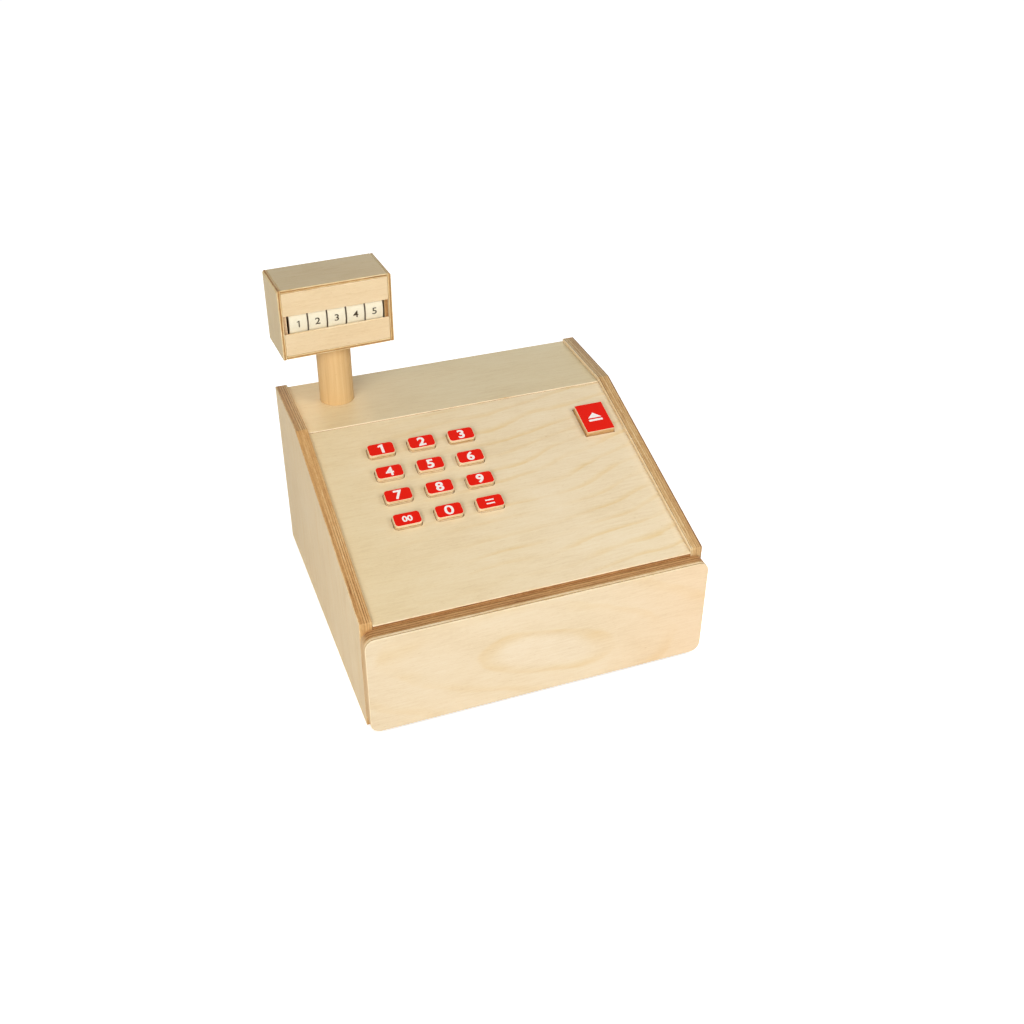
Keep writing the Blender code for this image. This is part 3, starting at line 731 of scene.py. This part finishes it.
def rounded_outline(width, depth, radius, steps=6):
    """The points of a rectangle round its middle, with rounded corners."""
    points = []
    for quarter, (x_side, y_side) in enumerate(((1, 1), (-1, 1), (-1, -1), (1, -1))):
        for step in range(steps + 1):
            turn = math.pi / 2 * (quarter + step / steps)
            points.append((
                x_side * (width / 2 - radius) + radius * math.cos(turn),
                y_side * (depth / 2 - radius) + radius * math.sin(turn),
            ))
    return points


# Keys: plywood blocks with a red label and white figures

key_names = [f"key_{number}" for number in range(1, 10)] + ["key_double_zero", "key_0", "key_equals"]
top_tolerance = 0.0002
sign_half_width = 0.0076
triangle_bottom, triangle_top = -0.0010, 0.0060
bar_bottom, bar_top = -0.0054, -0.0028


def key_top(node):
    """The frame of the middle of a key's top, from the points of its node."""
    top = reach(node, slope_normal)[1]
    points = [vertex.co for vertex in frame["nodes"][node].data.vertices]
    highest = [point for point in points if point.dot(slope_normal) > top - top_tolerance]
    middle = slope_normal * top
    for direction in (right, slope_up):
        places = [point.dot(direction) for point in highest]
        middle += direction * (min(places) + max(places)) / 2
    return Matrix.Translation(middle) @ slope_turn.to_4x4()


def labelled_key(node, layers, seed, size, radius):
    """Paints a key, puts its red label on and gives the frame of the label's top."""
    plywood(node, right, slope_normal, layers, key_birch, None, seed)
    top = key_top(node)
    sheet = raised(node + "_label", [rounded_outline(*size, radius)], label_thickness)
    on_body(placed(node + "_label", sheet, top), red_print, node)
    return top @ Matrix.Translation((0, 0, label_thickness))


def small_key(node, seed):
    """A key with a digit, two zeros or the equals sign."""
    top = labelled_key(node, key_layers, seed, label_size, label_radius)
    text = {"key_double_zero": "00", "key_equals": "="}.get(node, node[-1])
    figure = lettering(text, **{**key_lettering, **other_lettering.get(text, {})})
    lift = Matrix.Translation((0, 0, print_thickness / 2))
    on_body(placed(node + "_figure", figure, top @ lift), white_print, node)


def cash_key():
    """The large key, with the usual sign for open: a triangle over a bar."""
    top = labelled_key("cash_key", cash_layers, cash_key_seed, cash_label_size, cash_label_radius)
    half = sign_half_width
    triangle = [(-half, triangle_bottom), (half, triangle_bottom), (0, triangle_top)]
    bar = [(-half, bar_bottom), (half, bar_bottom), (half, bar_top), (-half, bar_top)]
    sign = raised("cash_key_sign", [triangle, bar], print_thickness)
    on_body(placed("cash_key_sign", sign, top), white_print, "cash_key")


for index, name in enumerate(key_names):
    small_key(name, first_key_seed + index * key_seed_step)
cash_key()

# Number drums: ten figures round each, with its own number at the window


def wrapped(mesh, radius, turn):
    """Cuts a flat figure into bands and bends it round a drum's axis, turned by an angle."""
    shape = bmesh.new()
    shape.from_mesh(mesh)
    reach_up = max(vert.co.y for vert in shape.verts)
    cuts = int(2 * reach_up / band_height)
    for cut in range(1, cuts):
        height = reach_up * (2 * cut / cuts - 1)
        geometry = list(shape.verts) + list(shape.edges) + list(shape.faces)
        bmesh.ops.bisect_plane(shape, geom=geometry, plane_co=(0, height, 0), plane_no=(0, 1, 0))
    for vert in shape.verts:
        x, y, z = vert.co
        angle = y / radius + turn
        out = radius + print_thickness / 2 + z
        vert.co = (x, -out * math.cos(angle), out * math.sin(angle))
    return shape


def drum_figures(drum):
    """All the figures of one drum, as one print that turns with it."""
    node = f"number_drum_{drum}"
    low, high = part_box(node)
    radius = (high.z - low.z) / 2
    mesh = bpy.data.meshes.new(node + "_figures")
    ring = bmesh.new()
    for step in range(drum_digits):
        flat = lettering(str((drum + step) % drum_digits), **drum_lettering)
        bent = wrapped(flat, radius, math.tau * step / drum_digits - drum_digit_drop / radius)
        bent.to_mesh(flat)
        bent.free()
        ring.from_mesh(flat)
    ring.to_mesh(mesh)
    ring.free()
    figures = placed(node + "_figures", mesh, Matrix.Translation((low + high) / 2) @ display_turn.to_4x4())
    on_body(figures, grey_print, node)


for drum in range(1, drum_count + 1):
    drum_figures(drum)

# Camera, floor and light

camera_lens, camera_sensor = 42.6948, 36
camera_place = (-0.337892, -0.978591, 0.813887)
camera_angles = (55.300562, -0.367647, -20.654932)
floor_half_size, floor_grey = 5, (0.8, 0.8, 0.8, 1)
# The floor's painted contact shadow: how far it reaches, and the glow at its darkest and in the open
shadow_reach, darkest_glow, full_glow = 0.05, 0.42, 0.85
white, room_light = (1, 1, 1, 1), 0.20
lit_middle = Vector((0, 0, 0.12))


def camera():
    """The camera at the photograph's viewing angle."""
    data = bpy.data.cameras.new("camera")
    data.lens = camera_lens
    data.sensor_width = camera_sensor
    obj = bpy.data.objects.new("camera", data)
    obj.location = camera_place
    obj.rotation_euler = [math.radians(angle) for angle in camera_angles]
    bpy.context.scene.collection.objects.link(obj)
    bpy.context.scene.camera = obj


def shader_node(tree, kind, **inputs):
    """A node of a kind, with inputs set by their names, written with a low line for each space."""
    made = tree.nodes.new("ShaderNode" + kind)
    for name, value in inputs.items():
        made.inputs[name.replace("_", " ")].default_value = value
    return made


def link_all(tree, *pairs):
    for source, target in pairs:
        tree.links.new(source, target)


def floor():
    """A matt white floor. The camera sees it lit up to white by a glow, which ambient occlusion dims near the
    object as a painted contact shadow, over the object's own shadow.
    """
    mesh = bpy.data.meshes.new("floor")
    shape = bmesh.new()
    bmesh.ops.create_grid(shape, x_segments=1, y_segments=1, size=floor_half_size)
    shape.to_mesh(mesh)
    shape.free()
    obj = placed("floor", mesh, Matrix.Identity(4))
    material = bpy.data.materials.new("pale_floor")
    material.use_nodes = True
    tree = material.node_tree
    tree.nodes.clear()
    matt = shader_node(tree, "BsdfDiffuse", Color=floor_grey)
    glow = shader_node(tree, "Emission")
    # Painted contact shadow: the glow is dimmed where the object stands near
    near = shader_node(tree, "AmbientOcclusion", Distance=shadow_reach)
    shadowed_glow = shader_node(tree, "MapRange", From_Min=0, From_Max=1, To_Min=darkest_glow, To_Max=full_glow)
    both, pick = shader_node(tree, "AddShader"), shader_node(tree, "MixShader")
    path, output = shader_node(tree, "LightPath"), shader_node(tree, "OutputMaterial")
    link_all(
        tree,
        (near.outputs["AO"], shadowed_glow.inputs["Value"]),
        (shadowed_glow.outputs[0], glow.inputs["Strength"]),
        (matt.outputs[0], both.inputs[0]),
        (glow.outputs[0], both.inputs[1]),
        (path.outputs["Is Camera Ray"], pick.inputs[0]),
        (matt.outputs[0], pick.inputs[1]),
        (both.outputs[0], pick.inputs[2]),
        (pick.outputs[0], output.inputs[0]),
    )
    obj.data.materials.append(material)


def world():
    """Even soft light, and plain white for what the camera and reflections see."""
    made = bpy.data.worlds.new("studio")
    bpy.context.scene.world = made
    made.use_nodes = True
    tree = made.node_tree
    tree.nodes.clear()
    soft = shader_node(tree, "Background", Color=white, Strength=room_light)
    bright = shader_node(tree, "Background", Color=white)
    path, output = shader_node(tree, "LightPath"), shader_node(tree, "OutputWorld")
    pick = shader_node(tree, "MixShader")
    seen = path.outputs["Is Camera Ray"]
    for ray in ("Is Glossy Ray", "Is Transmission Ray"):
        either = shader_node(tree, "Math")
        either.operation = "MAXIMUM"
        link_all(tree, (seen, either.inputs[0]), (path.outputs[ray], either.inputs[1]))
        seen = either.outputs[0]
    link_all(
        tree,
        (seen, pick.inputs[0]),
        (soft.outputs[0], pick.inputs[1]),
        (bright.outputs[0], pick.inputs[2]),
        (pick.outputs[0], output.inputs[0]),
    )


def softbox(name, toward, distance, size, brightness):
    """A square lamp that looks at the middle of the object. The brightness is that of a white face turned to
    it, at any distance."""
    data = bpy.data.lights.new(name, "AREA")
    data.size = size
    data.energy = brightness * (math.pi * distance) ** 2
    obj = bpy.data.objects.new(name, data)
    direction = Vector(toward).normalized()
    obj.location = lit_middle + direction * distance
    obj.rotation_euler = direction.to_track_quat("Z", "Y").to_euler()
    obj.visible_camera = False
    bpy.context.scene.collection.objects.link(obj)


camera()
floor()
world()
softbox("left_light", toward=(-0.55, -0.70, 0.45), distance=2.4, size=1.7, brightness=0.80)
softbox("right_light", toward=(0.62, -0.52, 0.62), distance=1.1, size=0.55, brightness=0.38)
softbox("back_light", toward=(0.25, 0.95, 0.12), distance=2.4, size=1.2, brightness=0.34)
bpy.context.scene.view_settings.view_transform = "Standard"
